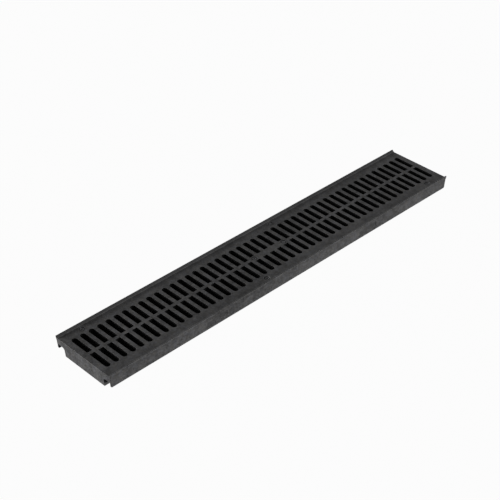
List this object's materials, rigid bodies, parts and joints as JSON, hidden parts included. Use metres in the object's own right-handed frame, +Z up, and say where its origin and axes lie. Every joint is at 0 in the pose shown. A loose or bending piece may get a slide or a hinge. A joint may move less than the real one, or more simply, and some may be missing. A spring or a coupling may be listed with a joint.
{
  "type": "channel drain grate",
  "caption": "Long moulded plastic grate for a channel drain: slotted plate between raised lips, ribbed core that drops into the channel, side skirts and countersunk screws.",
  "frame": {"origin": "on the plane of the core's foot, below the middle of the plate", "axes": "+X along the grate, +Y across it, +Z up through the walking surface"},
  "size_m": [0.9984, 0.1622, 0.0409],
  "materials": {
    "grate_plastic": "matte moulded plastic with a faint mottle",
    "screw_steel": "satin black oxide"
  },
  "bodies": {
    "root": {"grate_body": "grate_plastic", "edge_screw_1": "screw_steel", "edge_screw_2": "screw_steel", "edge_screw_3": "screw_steel", "edge_screw_4": "screw_steel", "middle_screw_1": "screw_steel", "middle_screw_2": "screw_steel"}
  },
  "joints": []
}
